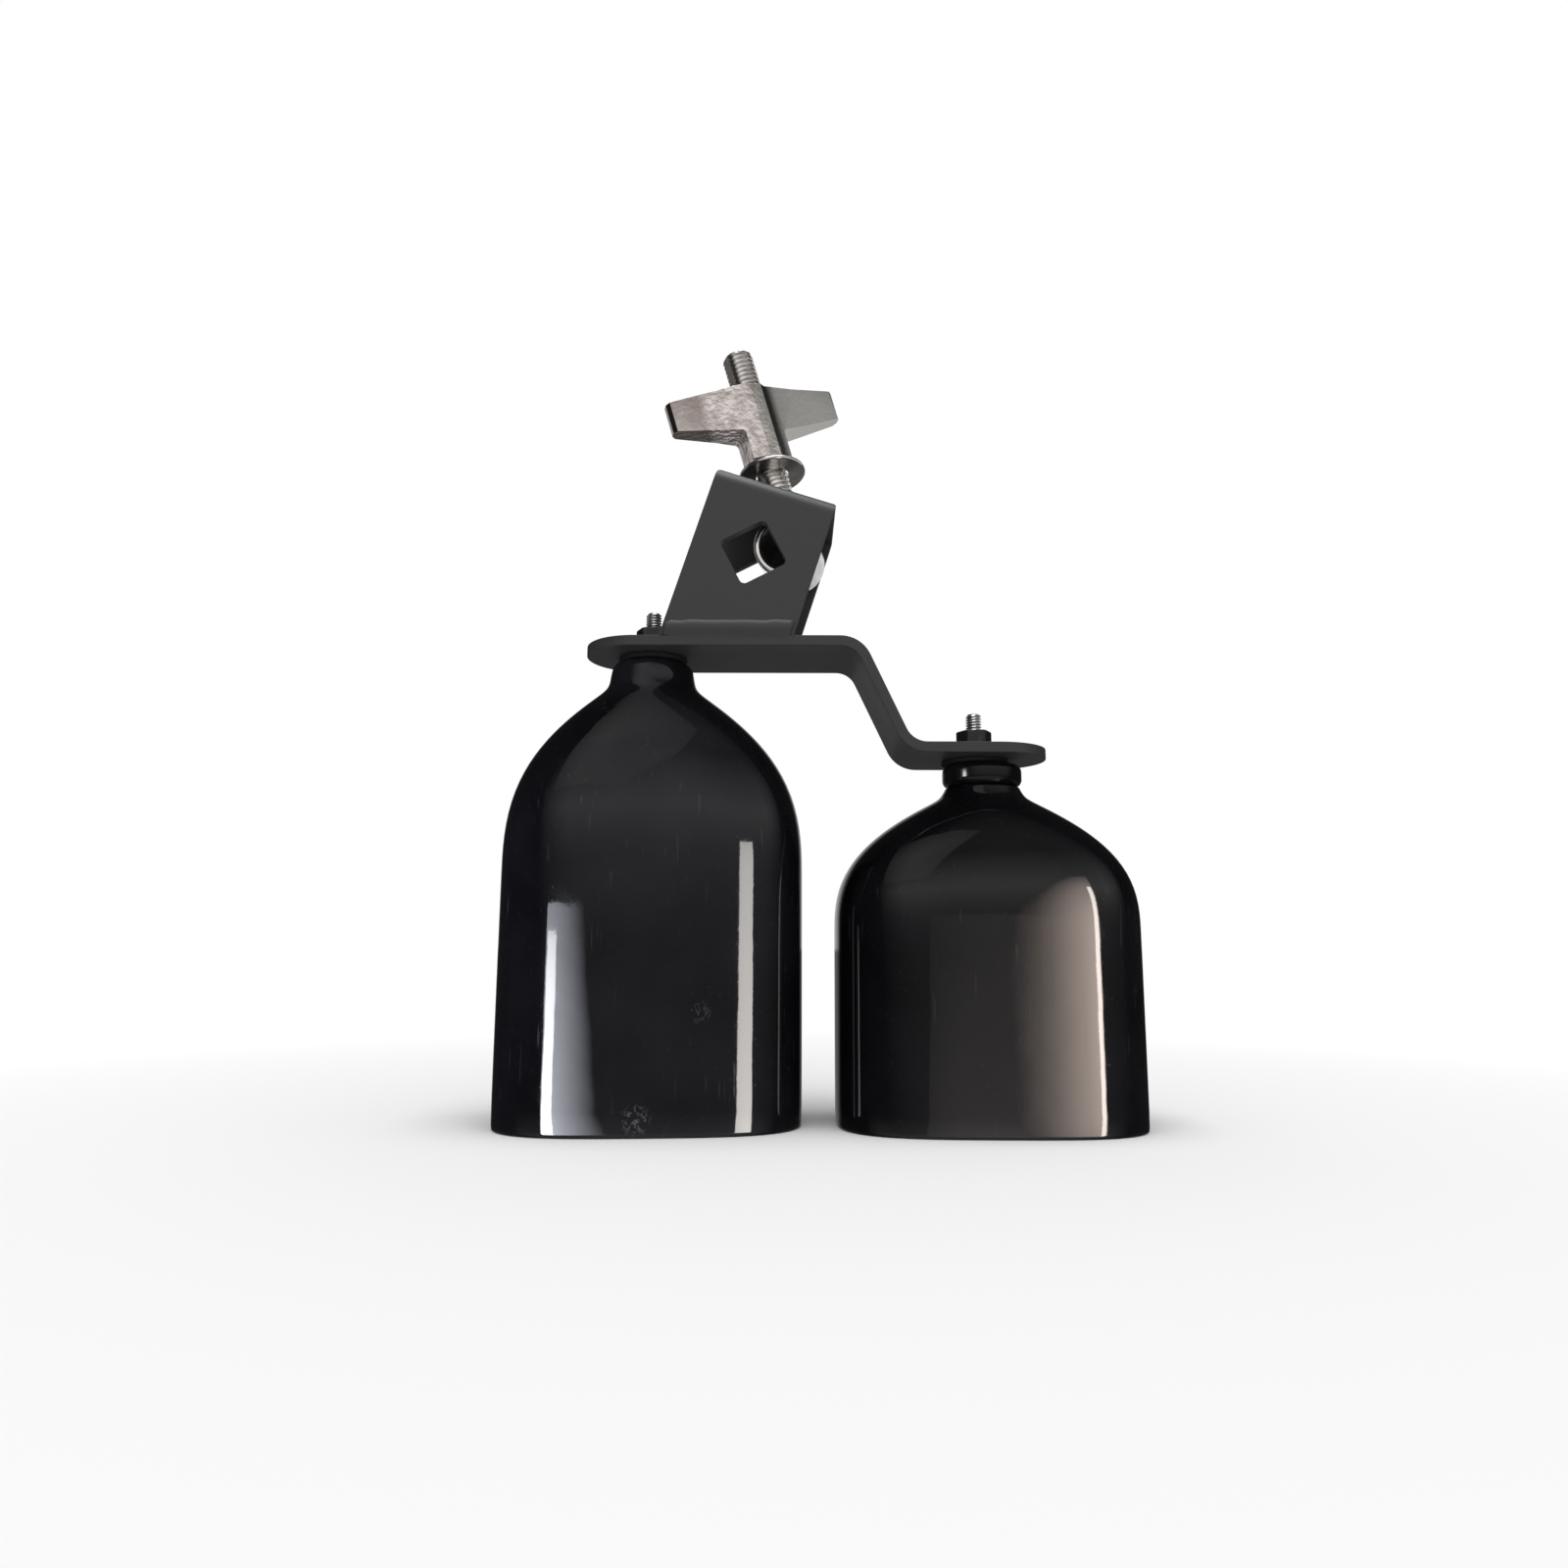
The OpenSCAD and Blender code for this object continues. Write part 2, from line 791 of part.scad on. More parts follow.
offset_bar();
clamp_stirrup();
stirrup_welds();
clamp_stud();
eye_barrel();
clamp_washer();
wing_nut();
large_bell();
large_bell_gasket();
large_bell_bolt();
large_bell_washer();
large_lock_washer();
large_bell_nut();
small_bell();
small_bell_spacer();
small_bell_gasket();
small_bell_bolt();
small_bell_washer();
small_lock_washer();
small_bell_nut();
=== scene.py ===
import json
import math

import bmesh
import bpy
from mathutils import Matrix, Vector, noise


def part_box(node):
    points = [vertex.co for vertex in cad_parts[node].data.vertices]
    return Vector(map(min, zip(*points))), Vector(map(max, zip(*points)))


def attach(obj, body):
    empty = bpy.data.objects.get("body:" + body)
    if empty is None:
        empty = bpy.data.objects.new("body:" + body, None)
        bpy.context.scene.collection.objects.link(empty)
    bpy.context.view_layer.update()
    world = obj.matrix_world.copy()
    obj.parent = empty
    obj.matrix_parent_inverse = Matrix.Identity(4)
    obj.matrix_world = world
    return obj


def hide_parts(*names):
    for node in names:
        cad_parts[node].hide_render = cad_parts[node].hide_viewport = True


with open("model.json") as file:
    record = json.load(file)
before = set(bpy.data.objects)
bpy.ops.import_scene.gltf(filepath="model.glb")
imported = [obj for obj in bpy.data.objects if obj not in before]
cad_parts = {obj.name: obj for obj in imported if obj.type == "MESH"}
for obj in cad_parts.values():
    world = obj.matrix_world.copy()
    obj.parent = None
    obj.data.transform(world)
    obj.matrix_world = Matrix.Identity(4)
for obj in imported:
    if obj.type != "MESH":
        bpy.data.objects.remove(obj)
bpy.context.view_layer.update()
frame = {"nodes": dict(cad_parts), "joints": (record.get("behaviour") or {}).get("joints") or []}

# Offset bar. A flat steel bar with rounded ends, bent to two levels. It is
# deburred, so that its edges are softly rounded, and carries satin black
# powder paint.
mm = 0.001
bar_edge = 0.55 * mm
satin_black = (0.037, 0.037, 0.039, 1)
satin_dust = (0.075, 0.075, 0.078, 1)
satin_grain = 0.5 * mm
satin_relief = 0.01 * mm
satin_smudge = 14 * mm
satin_speck = 0.35 * mm
joining_gap = 0.002 * mm
flat_angle = math.radians(0.5)
rounded_from = math.radians(30)


class Value:
    """A shader socket that takes part in sums: 0.4 + 0.1 * dust adds the Math nodes."""

    def __init__(self, socket):
        self.socket = socket

    def node(self, kind, settings, inputs, out=0):
        """Adds a node of a type, makes its settings, then sets or links its sockets."""
        tree = self.socket.id_data
        made = tree.nodes.new("ShaderNode" + kind)
        for name, setting in settings.items():
            if name == "stops":
                for element, (position, grey) in zip(made.color_ramp.elements, setting):
                    element.position = position
                    element.color = (grey, grey, grey, 1)
            else:
                setattr(made, name, setting)
        for name, given in inputs.items():
            if isinstance(given, Value):
                tree.links.new(given.socket, made.inputs[name])
            else:
                made.inputs[name].default_value = given
        return Value(made.outputs[out])

    def calculate(self, operation, first, second):
        return self.node("Math", {"operation": operation}, {0: first, 1: second})

    def __add__(self, other):
        return self.calculate("ADD", self, other)

    __radd__ = __add__

    def __mul__(self, other):
        return self.calculate("MULTIPLY", self, other)

    __rmul__ = __mul__

    def __sub__(self, other):
        return self.calculate("SUBTRACT", self, other)

    def __rsub__(self, other):
        return self.calculate("SUBTRACT", other, self)

    def noise(self, size, detail=3):
        """Noise with features of about that size in metres, read at these coordinates."""
        return self.node("TexNoise", {}, {"Vector": self, "Scale": 1 / size, "Detail": detail})

    def above(self, low, high):
        """0 up to low, 1 from high on. A ramp's stops lie between 0 and 1."""
        return self.node("ValToRGB", {"stops": ((low, 0), (high, 1))}, {0: self})

    def mix(self, first, second):
        """The first colour where this is 0, the second where it is 1."""
        colour_a, colour_b, colour_out = 6, 7, 2
        return self.node("Mix", {"data_type": "RGBA"}, {0: self, colour_a: first, colour_b: second},
                         colour_out)

    def bump(self, height, normal=None):
        """A normal raised by this value times a height in metres."""
        inputs = {"Height": self, "Distance": height, "Strength": 1}
        if normal:
            inputs["Normal"] = normal
        return self.node("Bump", {}, inputs)


def new_finish(name):
    """A material, its shader and the object coordinates that its patterns read."""
    material = bpy.data.materials.new(name)
    material.use_nodes = True
    shader = material.node_tree.nodes["Principled BSDF"]
    coords = material.node_tree.nodes.new("ShaderNodeTexCoord")
    return material, shader, Value(coords.outputs["Object"])


def dress(material, shader, **inputs):
    """Sets or links the shader's sockets, whose names have underscores here."""
    for name, given in inputs.items():
        socket = shader.inputs[name.replace("_", " ")]
        if isinstance(given, Value):
            material.node_tree.links.new(given.socket, socket)
        else:
            socket.default_value = given


def paint_satin():
    """Fine grain, and dust that gathers where the paint is smudged."""
    material, shader, place = new_finish("satin black paint")
    grain = place.noise(satin_grain, 2)
    smudge = place.noise(satin_smudge, 4)
    dust = place.noise(satin_speck, 1).above(0.72, 0.78) * smudge.above(0.4, 0.7)
    dress(material, shader, Base_Color=(dust * 0.35).mix(satin_black, satin_dust),
          Roughness=0.42 + 0.12 * smudge, Specular_IOR_Level=0.4, Normal=grain.bump(satin_relief))
    return material


def welded_copy(node):
    """A copy of a CAD solid whose loose triangles are joined to whole faces."""
    mesh = bmesh.new()
    mesh.from_mesh(frame["nodes"][node].data)
    bmesh.ops.remove_doubles(mesh, verts=mesh.verts, dist=joining_gap)
    bmesh.ops.dissolve_limit(mesh, angle_limit=flat_angle, verts=mesh.verts, edges=mesh.edges)
    return mesh


def make_piece(name, mesh, material, body, nodes, sharp=35):
    """A finished piece in place of CAD nodes: smooth, but for edges sharper than an angle."""
    data = bpy.data.meshes.new(name)
    mesh.to_mesh(data)
    mesh.free()
    data.shade_smooth()
    data.set_sharp_from_angle(angle=math.radians(sharp))
    data.materials.append(material)
    piece = bpy.data.objects.new(name, data)
    bpy.context.scene.collection.objects.link(piece)
    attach(piece, body)
    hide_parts(*nodes)
    return piece


def round_edges(piece, width, segments=3):
    """Rounds the edges that turn by more than an angle."""
    bevel = piece.modifiers.new("rounded edges", "BEVEL")
    bevel.width = width
    bevel.segments = segments
    bevel.limit_method = "ANGLE"
    bevel.angle_limit = rounded_from
    bevel.harden_normals = True


satin_paint = paint_satin()
bar = make_piece("painted_bar", welded_copy("offset_bar"), satin_paint, "frame",
                 ["offset_bar"])
round_edges(bar, bar_edge)

# Stirrup. A steel strip folded to an inverted U, punched with a square rod
# hole in each side and a slot in its top, and painted with the bar.
stirrup_edge = 0.4 * mm

stirrup = make_piece("painted_stirrup", welded_copy("clamp_stirrup"), satin_paint, "frame",
                     ["clamp_stirrup"])
round_edges(stirrup, stirrup_edge)

# Weld beads. Two runs of weld along the stirrup's feet, uneven in height
# under the same paint.
bead_step = 1.2 * mm
bead_wave = 4 * mm
bead_ripple = 0.35 * mm
bead_settle = 0.7
bead_sharp = 80


def cut_across(mesh, place, outward, clear=False):
    """Cuts all of a mesh at a plane, clears what is outside it if told to, and returns the cut."""
    whole = mesh.verts[:] + mesh.edges[:] + mesh.faces[:]
    return bmesh.ops.bisect_plane(mesh, geom=whole, plane_co=place, plane_no=outward,
                                  clear_outer=clear)["geom_cut"]


def lay_beads():
    """Cuts the beads into short lengths and makes each a little fuller or leaner."""
    mesh = welded_copy("stirrup_welds")
    low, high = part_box("stirrup_welds")
    middle = (low + high) / 2
    for i in range(1, int((high.x - low.x) / bead_step)):
        cut_across(mesh, (low.x + i * bead_step, 0, 0), (1, 0, 0))
    for vertex in mesh.verts:
        swell = noise.noise(Vector((vertex.co.x / bead_wave, vertex.co.y, 0)))
        if vertex.co.z > middle.z:
            rise = (vertex.co.z - middle.z) / (high.z - middle.z)
            vertex.co.z -= rise * bead_ripple * (bead_settle + swell)
    return mesh


make_piece("weld_beads", lay_beads(), satin_paint, "frame",
           ["stirrup_welds"], bead_sharp)

# Bells. Two oblong bells drawn from 1.2 mm steel sheet, sprayed with thick
# gloss black enamel inside and out. The gloss is handled: faint smears,
# fine dust, hairline scratches and a few scuffs near the large mouth.
enamel_black = (0.0012, 0.0012, 0.0016, 1)
enamel_smear = (0.003, 0.003, 0.004, 1)
enamel_worn = (0.03, 0.03, 0.036, 1)
scuff_grey = (0.12, 0.12, 0.13, 1)
smear_size = 22 * mm
haze_size = 7 * mm
enamel_dust = 0.5 * mm
hair_width = 0.7 * mm
hair_turn = (0.3, 0.5, 0.2)
hair_stretch = (1, 1, 0.05)
crumb_size = 1.3 * mm
ripple_length, ripple_height = 16 * mm, 0.06 * mm
peel_length, peel_height = 1.1 * mm, 0.002 * mm
# Each scuff's middle and radius, in millimetres.
large_scuffs = ((-26, -26, 27, 3.5), (-40, -26, 4, 3.5), (-37, -26, 53, 0.35))
quad_angle = math.radians(60)
bell_sharp = 80


def spray_enamel():
    """Deep gloss over a slow ripple and fine orange peel, with the marks of handling."""
    material, shader, place = new_finish("gloss black enamel")
    smear = place.noise(smear_size, 5)
    haze = place.noise(haze_size, 6)
    specks = place.noise(enamel_dust, 0).above(0.79, 0.82)
    lines = place.node("Mapping", {}, {"Vector": place, "Rotation": hair_turn, "Scale": hair_stretch})
    hairs = lines.noise(hair_width, 0).above(0.745, 0.76) * haze.above(0.5, 0.6)
    crumbs = place.noise(crumb_size, 2)
    rubs = crumbs.above(0.5, 0.53) * (1 - crumbs.above(0.55, 0.58))
    scuffs = 0
    for x, y, z, radius in large_scuffs:
        away = place.node("VectorMath", {"operation": "DISTANCE"},
                          {0: place, 1: (x * mm, y * mm, z * mm)}, "Value")
        scuffs = scuffs + (1.2 - away * (1 / (radius * mm))).above(0, 0.6) * rubs
    marks = (specks * 0.4 + hairs * 0.3 + scuffs * 0.6).above(0, 1)
    colour = smear.above(0.35, 0.75).mix(enamel_black, enamel_smear)
    colour = (marks * 0.5).mix(colour, enamel_worn)
    colour = (scuffs * 0.2).mix(colour, scuff_grey)
    ripple = place.noise(ripple_length, 2)
    peel = place.noise(peel_length, 1)
    normal = peel.bump(peel_height, ripple.bump(ripple_height))
    dress(material, shader, Base_Color=colour, Normal=normal, Specular_IOR_Level=0.32,
          Roughness=0.035 + 0.03 * haze.above(0.4, 0.75) + 0.2 * marks)
    return material


def drawn_shell(node):
    """The bell's sheet as a net of four-sided faces, ready for subdivision."""
    mesh = bmesh.new()
    mesh.from_mesh(frame["nodes"][node].data)
    bmesh.ops.remove_doubles(mesh, verts=mesh.verts, dist=joining_gap)
    bmesh.ops.join_triangles(mesh, faces=mesh.faces, angle_face_threshold=quad_angle,
                             angle_shape_threshold=quad_angle)
    return mesh


enamel = spray_enamel()
bells = []
for name in ("large_bell", "small_bell"):
    bell = make_piece("enamelled_" + name, drawn_shell(name), enamel, "frame",
                      [name], bell_sharp)
    smooth = bell.modifiers.new("smooth sheet", "SUBSURF")
    smooth.levels = smooth.render_levels = 1
    bells.append(bell)

# Gaskets. Thin black rubber washers that keep the bells from rattling
# against the bar, dull and a little dusty.
rubber_black = (0.008, 0.008, 0.008, 1)
rubber_dust = (0.02, 0.02, 0.02, 1)
rubber_grain, rubber_relief = 0.8 * mm, 0.02 * mm
gasket_edge = 0.2 * mm


def mould_rubber():
    material, shader, place = new_finish("black rubber")
    dust = place.noise(rubber_grain, 4)
    dress(material, shader, Base_Color=dust.mix(rubber_black, rubber_dust), Specular_IOR_Level=0.3,
          Roughness=0.65 + 0.2 * dust, Normal=dust.bump(rubber_relief))
    return material


rubber = mould_rubber()
for name in ("large_bell_gasket", "small_bell_gasket"):
    gasket = make_piece("moulded_" + name, welded_copy(name), rubber, "frame", [name])
    round_edges(gasket, gasket_edge)

# Collar. A moulded ring of gloss black plastic that holds the small bell
# off the bar's lower level, with the bolt through its middle.
collar_black = (0.002, 0.002, 0.002, 1)
collar_haze = (0.005, 0.005, 0.006, 1)
collar_cloud = 3 * mm
collar_ripple, collar_relief = 1.5 * mm, 0.004 * mm


def mould_collar():
    material, shader, place = new_finish("gloss black plastic")
    haze = place.noise(collar_cloud, 4)
    dress(material, shader, Base_Color=haze.mix(collar_black, collar_haze), Specular_IOR_Level=0.25,
          Roughness=0.1 + 0.1 * haze, Normal=place.noise(collar_ripple, 1).bump(collar_relief))
    return material


collar = make_piece("moulded_collar", welded_copy("small_bell_spacer"), mould_collar(), "frame",
                    ["small_bell_spacer"])

# Bell bolts, nuts and washers. Zinc plated bolts with blackened nuts and
# lock washers on the bar. The bolts' threads show above the nuts, and plain
# washers spread their heads' load inside the crowns.
zinc = (0.68, 0.67, 0.65, 1)
zinc_cloud = (0.42, 0.41, 0.4, 1)
zinc_patch = 1.5 * mm
zinc_grain, zinc_relief = 0.8 * mm, 0.004 * mm
oxide_black = (0.008, 0.008, 0.009, 1)
oxide_bare = (0.035, 0.035, 0.036, 1)
oxide_patch, oxide_relief = 1.2 * mm, 0.01 * mm
fastener_edge, fastener_segments = 0.12 * mm, 2
bolt_radius = 2 * mm
bolt_pitch = 0.7 * mm
bolt_chamfer = 0.5 * mm
thread_overlap = 0.5 * mm
thread_sides = 32
thread_depth = 0.61
# One turn's profile: each corner's share of the depth, and its height in turns.
thread_profile = ((1, 0), (1, 1 / 8), (0, 7 / 16), (0, 9 / 16), (1, 7 / 8), (1, 1))


def plate_zinc():
    material, shader, place = new_finish("zinc plate")
    cloud = place.noise(zinc_patch, 5)
    dress(material, shader, Base_Color=cloud.above(0.4, 0.7).mix(zinc, zinc_cloud), Metallic=1,
          Roughness=0.16 + 0.12 * cloud, Normal=place.noise(zinc_grain, 2).bump(zinc_relief))
    return material


def blacken():
    material, shader, place = new_finish("black oxide")
    wear = place.noise(oxide_patch, 4)
    dress(material, shader, Base_Color=wear.above(0.5, 0.75).mix(oxide_black, oxide_bare),
          Roughness=0.3 + 0.15 * wear, Normal=wear.bump(oxide_relief))
    return material


def cut_thread(mesh, radius, pitch, start, end, chamfer):
    """Winds one turn's profile up the +Z axis into a thread, cut square at both ends."""
    depth = thread_depth * pitch
    line = [mesh.verts.new((radius - share * depth, 0, start + (height - 1) * pitch))
            for share, height in thread_profile]
    edges = [mesh.edges.new(pair) for pair in zip(line, line[1:])]
    turns = math.ceil((end - start) / pitch) + 2
    bmesh.ops.spin(mesh, geom=line + edges, cent=(0, 0, 0), axis=(0, 0, 1),
                   dvec=(0, 0, pitch / thread_sides), angle=math.tau * turns,
                   steps=thread_sides * turns)
    bmesh.ops.remove_doubles(mesh, verts=mesh.verts, dist=pitch / 100)
    for height, outward in ((start, -1), (end, 1)):
        cut = cut_across(mesh, (0, 0, height), (0, 0, outward), clear=True)
        rim = [e for e in cut if isinstance(e, bmesh.types.BMEdge)]
        bmesh.ops.edgeloop_fill(mesh, edges=rim)
    for vertex in mesh.verts:
        across = vertex.co.xy.length
        limit = radius - max(0, vertex.co.z - end + chamfer)
        if across > limit:
            vertex.co.xy *= limit / across
    bmesh.ops.recalc_face_normals(mesh, faces=mesh.faces)


def threaded_bolt(node, nut):
    """The bolt below the nut's top as it is, with a real thread above it."""
    low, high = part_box(node)
    middle = (low + high) / 2
    thread_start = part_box(nut)[1].z - thread_overlap
    mesh = welded_copy(node)
    cut_across(mesh, (0, 0, thread_start), (0, 0, 1), clear=True)
    bmesh.ops.holes_fill(mesh, edges=mesh.edges)
    thread = bmesh.new()
    cut_thread(thread, bolt_radius, bolt_pitch, thread_start, high.z, bolt_chamfer)
    bmesh.ops.translate(thread, verts=thread.verts, vec=(middle.x, middle.y, 0))
    part = bpy.data.meshes.new("thread")
    thread.to_mesh(part)
    thread.free()
    mesh.from_mesh(part)
    bpy.data.meshes.remove(part)
    return mesh


zinc_plate = plate_zinc()
black_oxide = blacken()
for bell in ("large", "small"):
    bolt, nut = bell + "_bell_bolt", bell + "_bell_nut"
    make_piece("threaded_" + bolt, threaded_bolt(bolt, nut), zinc_plate, "frame", [bolt])
    washer = bell + "_bell_washer"
    make_piece("plated_" + washer, welded_copy(washer), zinc_plate, "frame", [washer])
    for name in (nut, bell + "_lock_washer"):
        fastener = make_piece("blackened_" + name, welded_copy(name), black_oxide, "frame",
                              [name])
        round_edges(fastener, fastener_edge, fastener_segments)

# Clamp stud and eye. A chromed M8 stud, threaded for its whole length and
# welded to the eye, a short tube that the mounting rod passes through.
chrome = (0.8, 0.78, 0.76, 1)
chrome_shade = (0.6, 0.57, 0.55, 1)
chrome_patch, chrome_relief = 3 * mm, 0.008 * mm
stud_radius = 4 * mm
stud_pitch = 1.25 * mm
stud_chamfer = 0.8 * mm
eye_edge = 0.3 * mm
joints = {joint["name"]: joint for joint in frame["joints"]}
stud_axis = Vector(joints["wing_nut_spin"]["axis"]).normalized()
stud_pivot = Vector(joints["clamp_tilt"]["pos_m"])
stud_lean = Vector((0, 0, 1)).rotation_difference(stud_axis).to_matrix().to_4x4()


def plate_chrome():
    material, shader, place = new_finish("polished chrome")
    cloud = place.noise(chrome_patch, 5)
    dress(material, shader, Base_Color=cloud.above(0.4, 0.7).mix(chrome, chrome_shade), Metallic=1,
          Roughness=0.12 + 0.1 * cloud, Normal=place.noise(chrome_patch, 2).bump(chrome_relief))
    return material


def turn_stud():
    """The threaded stud, wound upright, then leaned over and set in its place."""
    along = [vertex.co.dot(stud_axis) for vertex in frame["nodes"]["clamp_stud"].data.vertices]
    base = stud_pivot.dot(stud_axis)
    mesh = bmesh.new()
    cut_thread(mesh, stud_radius, stud_pitch, min(along) - base, max(along) - base, stud_chamfer)
    bmesh.ops.transform(mesh, matrix=Matrix.Translation(stud_pivot) @ stud_lean, verts=mesh.verts)
    return mesh


chrome_plate = plate_chrome()
make_piece("threaded_stud", turn_stud(), chrome_plate, "clamp_bolt", ["clamp_stud"])
eye = make_piece("chromed_eye", welded_copy("eye_barrel"), chrome_plate, "clamp_bolt",
                 ["eye_barrel"])
round_edges(eye, eye_edge)

# Clamp washer. A thin stamped steel washer, chromed, that lies loose on the
# stud between the stirrup's top and the wing nut.
washer_edge, washer_segments = 0.15 * mm, 2

washer = make_piece("stamped_washer", welded_copy("clamp_washer"), chrome_plate, "clamp_washer",
                    ["clamp_washer"])
round_edges(washer, washer_edge, washer_segments)

# Wing nut. A die-cast nut with two swept wings and soft edges, chromed over
# the casting, which is rough from the hub to the left wing and smoother on
# that wing's brownish tip and on the right wing, whose grey is darkened as
# painted shade.
cast_chrome = (0.85, 0.78, 0.74, 1)
cast_shade = (0.5, 0.43, 0.41, 1)
# The right wing's smooth chrome; its darker grey is painted shade, not a different metal.
cast_smooth_shaded = (0.5, 0.49, 0.46, 1)
cast_tip = (0.37, 0.31, 0.29, 1)
cast_skin, cast_pits, cast_relief = 3.5 * mm, 1.1 * mm, 0.2 * mm
nut_edge = 0.45 * mm
nut_middle = sum(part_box("wing_nut"), Vector()) / 2
wing_line = Vector((1, 0, 0.28))
wing_reach = 24 * mm


def plate_casting():
    """Chrome whose roughness and colour change from the left wing's tip to the right wing's, whose
    darker grey is painted shade.
    """
    material, shader, place = new_finish("cast chrome")
    side = place.node("VectorMath", {"operation": "DOT_PRODUCT"}, {0: place, 1: wing_line}, "Value")
    side = (side - nut_middle.dot(wing_line)) * (1 / wing_reach)
    tip = (0 - side).above(0.47, 0.55)
    rough = (1 - side.above(0, 0.2)) * (1 - 0.7 * tip)
    skin = place.noise(cast_skin, 6)
    pits = place.noise(cast_pits, 4)
    mottle = skin.above(0.4, 0.65)
    # Where the casting is smooth, mostly the right wing, the colour is the darker grey painted as
    # shade.
    colour = rough.mix(cast_smooth_shaded, mottle.mix(cast_chrome, cast_shade))
    colour = (tip * (0.6 + 0.4 * mottle)).mix(colour, cast_tip)
    lumps = (skin + pits) * (0.14 + 0.86 * rough)
    dress(material, shader, Base_Color=colour, Metallic=1,
          Roughness=0.1 + 0.1 * skin, Normal=lumps.bump(cast_relief))
    return material


chrome_cast = plate_casting()
nut = make_piece("cast_wing_nut", welded_copy("wing_nut"), chrome_cast, "wing_nut",
                 ["wing_nut"])
round_edges(nut, nut_edge)

# Studio. A plain white floor and background, and the camera low in front, a
# little under the clamp. Soft lamps stand on both sides, above and behind,
# and each lights only the pieces that it is there for.
floor_half = 3
floor_white = (0.85, 0.85, 0.85, 1)
white_light = (1, 1, 1, 1)
fade_start, fade_end = 0.1, 0.3
camera_place = Vector((-6.793, -267, 40.14)) * mm
camera_pitch = math.radians(8.8)
camera_yaw = math.radians(0.31)
camera_roll = math.radians(0.2)
camera_near = 0.01
sensor_width = 36
focal_pixels = 1105.3
photo_pixels = 1600

floor_mesh = bmesh.new()
bmesh.ops.create_grid(floor_mesh, x_segments=1, y_segments=1, size=floor_half)
floor_data = bpy.data.meshes.new("floor")
floor_mesh.to_mesh(floor_data)
floor_mesh.free()
floor = bpy.data.objects.new("floor", floor_data)
bpy.context.scene.collection.objects.link(floor)
white, floor_shader, floor_place = new_finish("white floor")
floor_data.materials.append(white)
dress(white, floor_shader, Base_Color=floor_white, Roughness=0.9, Specular_IOR_Level=0)
# To the camera the floor fades to the background's white away from the object.
glow = floor_place.node("Emission", {}, {"Color": white_light, "Strength": 1})
away = floor_place.node("VectorMath", {"operation": "LENGTH"}, {0: floor_place}, "Value")
seen = floor_place.node("LightPath", {}, {}, "Is Camera Ray")
clear = seen * away.above(fade_start, fade_end)
surface = clear.node("MixShader", {}, {0: clear, 1: Value(floor_shader.outputs[0]), 2: glow})
white.node_tree.links.new(surface.socket, white.node_tree.nodes["Material Output"].inputs["Surface"])
floor.visible_glossy = False
floor.visible_shadow = False

world = bpy.data.worlds.new("white room")
bpy.context.scene.world = world
world.use_nodes = True
room = world.node_tree.nodes["Background"]
look = Value(world.node_tree.nodes.new("ShaderNodeTexCoord").outputs["Generated"])
path = world.node_tree.nodes.new("ShaderNodeLightPath")
camera_ray = Value(path.outputs["Is Camera Ray"])
mirror_ray = Value(path.outputs["Is Glossy Ray"])
glass_ray = Value(path.outputs["Is Transmission Ray"])
front_way = (0.34, -0.94, 0.5)
front = look.node("VectorMath", {"operation": "DOT_PRODUCT"}, {0: look, 1: front_way}, "Value")
depth = look.node("SeparateXYZ", {}, {0: look}, "Y")
height = look.node("SeparateXYZ", {}, {0: look}, "Z")
# What gloss mirrors: a light band in front, dimmer low down and high up, a
# wall behind, darker below the horizon, and a dim floor, paler in front.
band = (0.24 + 0.75 * height.above(0, 0.35)) * (1 - 0.8 * height.above(0.4, 0.8))
wall = 0.5 * depth.above(0.85, 0.97) * (0.3 + 0.7 * height.above(0, 0))
ground = 0.08 * (0 - height).above(0.2, 0.5)
ground_front = 0.6 * ((0 - depth).above(0.3, 0.6) * (0 - height).above(0.15, 0.4))
mirrored = 0.02 + band * front.above(0.45, 0.85) + wall + ground + ground_front
# All other light on the object is nearly even, and stronger from the front.
plain_light = 0.42 + 0.36 * front.above(0, 0.9)
unseen = (1 - camera_ray) * (1 - glass_ray)
strength = 1 + unseen * (plain_light + mirror_ray * (mirrored - plain_light) - 1)
room.inputs["Color"].default_value = white_light
world.node_tree.links.new(strength.socket, room.inputs["Strength"])


def aside(turn, rise):
    """The direction that is some degrees right of the viewer's side and above the floor."""
    turn, rise = math.radians(turn), math.radians(rise)
    return Vector((math.sin(turn) * math.cos(rise), -math.cos(turn) * math.cos(rise), math.sin(rise)))


def soft_lamp(name, lit, near, stand, size, power, colour=(1, 1, 1), away=0.5, facing=None, spread=180):
    """A rectangular lamp that stands aside of a place and lights only some pieces.

    It faces where it stands unless it is turned, and a grid may narrow its spread.
    """
    data = bpy.data.lights.new(name, "AREA")
    data.shape = "RECTANGLE"
    data.size, data.size_y = size
    data.energy = power
    data.color = colour
    data.spread = math.radians(spread)
    lamp = bpy.data.objects.new(name, data)
    lamp.location = near + away * aside(*stand)
    lamp.rotation_euler = (-aside(*(facing or stand))).to_track_quat("-Z", "Y").to_euler()
    bpy.context.scene.collection.objects.link(lamp)
    lamp.light_linking.receiver_collection = bpy.data.collections.new(name)
    for piece in lit:
        lamp.light_linking.receiver_collection.objects.link(piece)


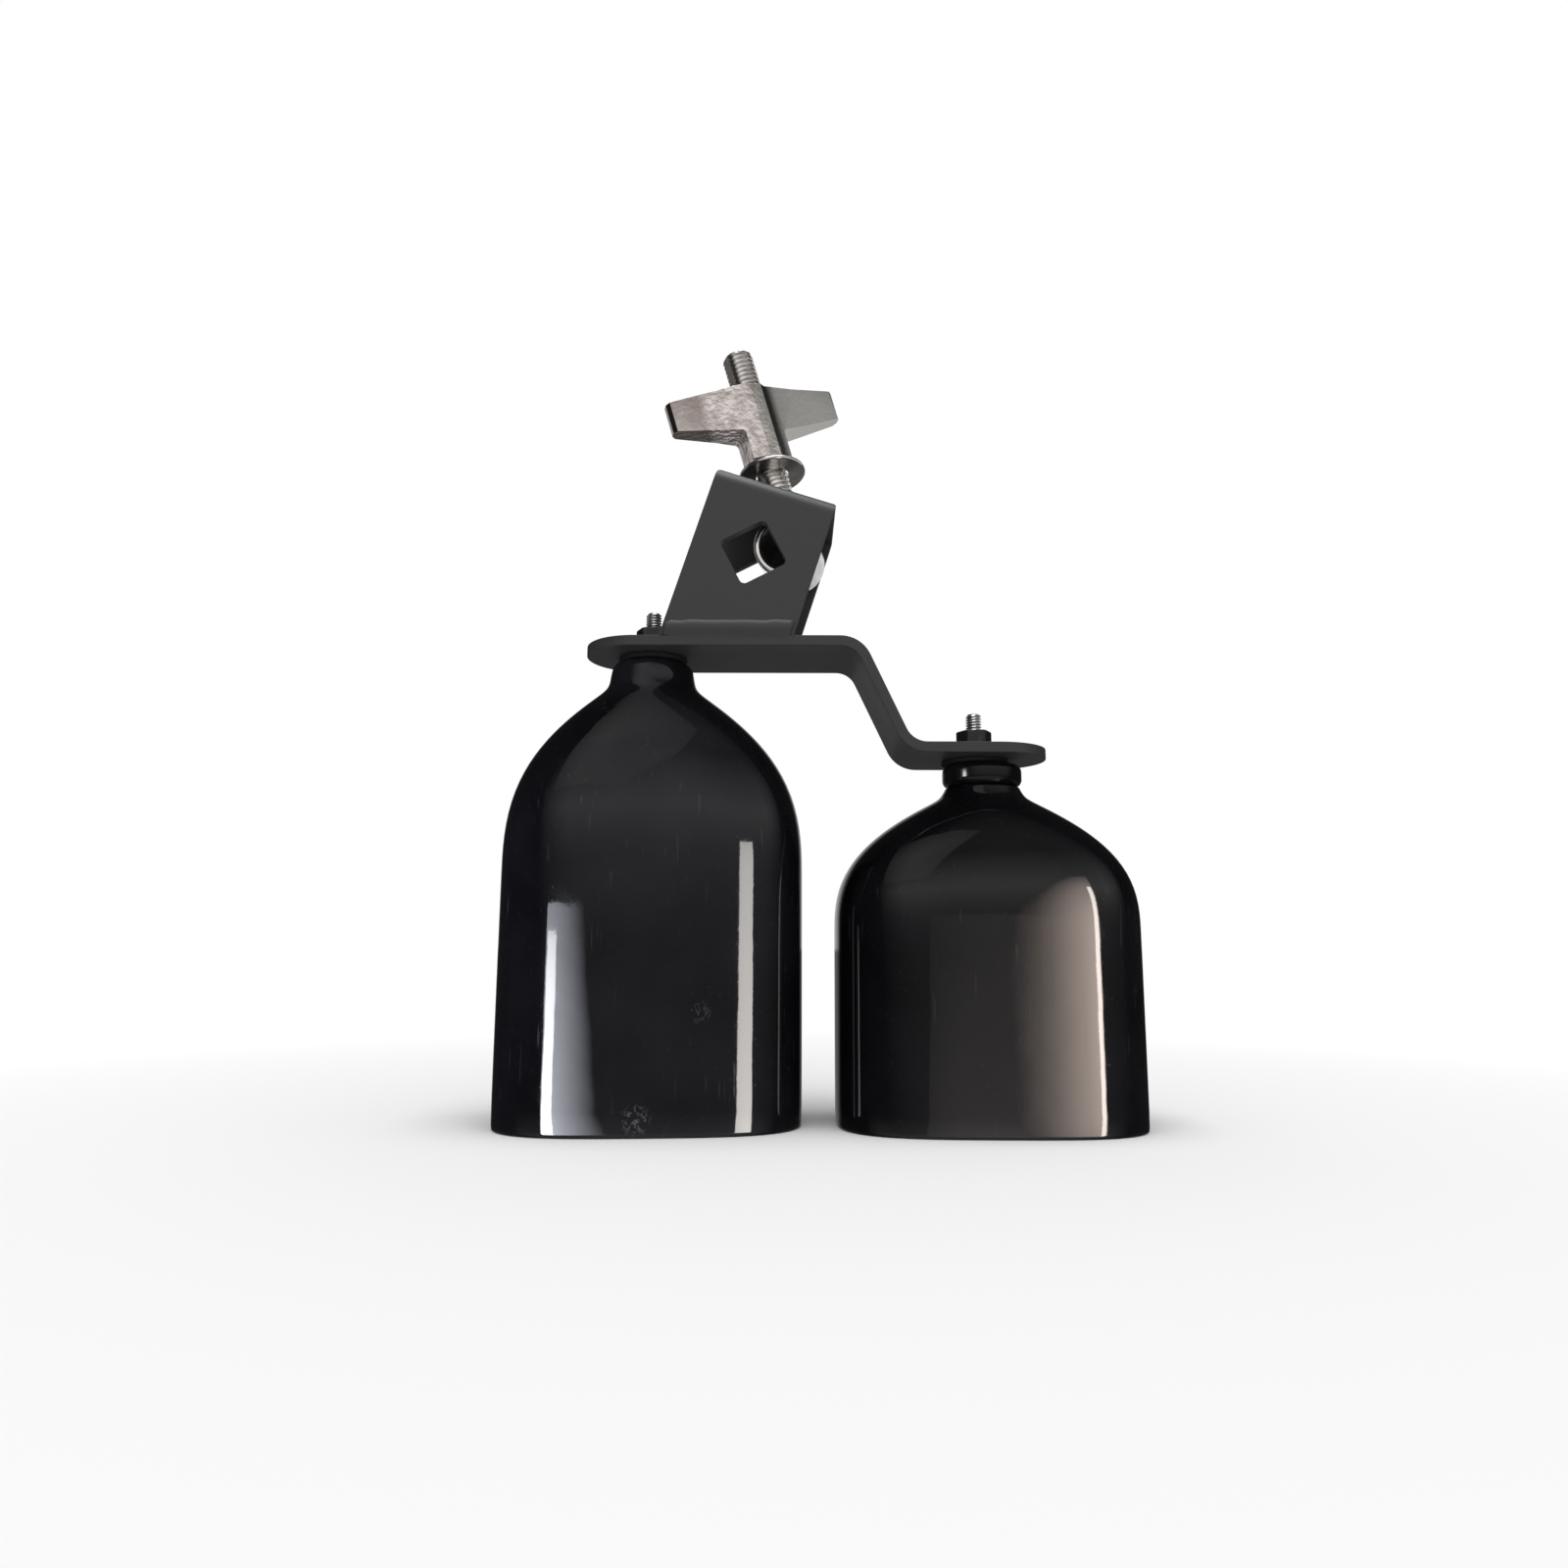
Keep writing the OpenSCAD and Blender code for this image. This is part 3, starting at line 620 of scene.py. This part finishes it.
large, small = bells
others = [piece for piece in bpy.context.scene.objects if piece.type == "MESH" and piece not in bells]
plated = [piece for piece in others if piece.active_material in (chrome_plate, chrome_cast, zinc_plate)]
large_front = Vector((-40, -24, 0)) * mm
small_front = Vector((40, -24, 0)) * mm
collar_front = Vector((39, -8, 88)) * mm
clamp_front = Vector((-10, -12, 150)) * mm
footprint = Vector((0, 0, 0))
soft_lamp("left strip", [large], large_front, (-32, -8), size=(0.07, 0.27), power=0.48,
          colour=(0.97, 0.98, 1), facing=(-32, -25), spread=70)
soft_lamp("left glow", [large], large_front, (-17, -8), size=(0.34, 0.3), power=0.9,
          colour=(0.87, 0.89, 1), facing=(-35, -19), spread=62)
soft_lamp("right strip", [large], large_front, (39, -2), size=(0.105, 0.37), power=0.65,
          colour=(1, 0.96, 0.92), facing=(39, -15), spread=90)
soft_lamp("right panel", [small], small_front, (22, 5), size=(0.45, 0.56), power=1.7,
          colour=(1, 0.82, 0.72), facing=(47, -3), spread=70)
soft_lamp("right glow", [small], small_front, (12, -10), size=(0.4, 0.4), power=0.07,
          colour=(1, 0.9, 0.84), facing=(14, -22), spread=70)
soft_lamp("right edge", [small], small_front, (46, 3), size=(0.03, 0.45), power=0.9,
          colour=(1, 0.95, 0.92), facing=(46, 0))
soft_lamp("shoulder glow", bells, footprint, (-28, 58), size=(0.4, 0.5), power=0.06,
          away=0.6, spread=70)
soft_lamp("collar window", [collar], collar_front, (-60, 4), size=(0.08, 0.1), power=1)
soft_lamp("back panel", plated, clamp_front, (180, 10), size=(1.2, 0.8), power=1.6, away=0.6)
soft_lamp("right side", plated, clamp_front, (100, 5), size=(0.5, 0.8), power=0.7,
          colour=(1, 0.97, 0.93), away=0.6)
soft_lamp("left side", plated, clamp_front, (-105, 5), size=(0.5, 0.8), power=0.2,
          colour=(1, 0.97, 0.95), away=0.6)
soft_lamp("overhead", others, footprint, (0, 84), size=(0.5, 0.5), power=5, away=0.95)

camera_data = bpy.data.cameras.new("camera")
camera_data.sensor_width = sensor_width
camera_data.lens = focal_pixels / photo_pixels * sensor_width
camera_data.clip_start = camera_near
camera = bpy.data.objects.new("camera", camera_data)
turn = Matrix.Rotation(camera_yaw, 4, "Z") @ Matrix.Rotation(math.pi / 2 + camera_pitch, 4, "X")
camera.matrix_world = Matrix.Translation(camera_place) @ turn @ Matrix.Rotation(camera_roll, 4, "Z")
bpy.context.scene.collection.objects.link(camera)
bpy.context.scene.camera = camera
bpy.context.scene.view_settings.view_transform = "Standard"
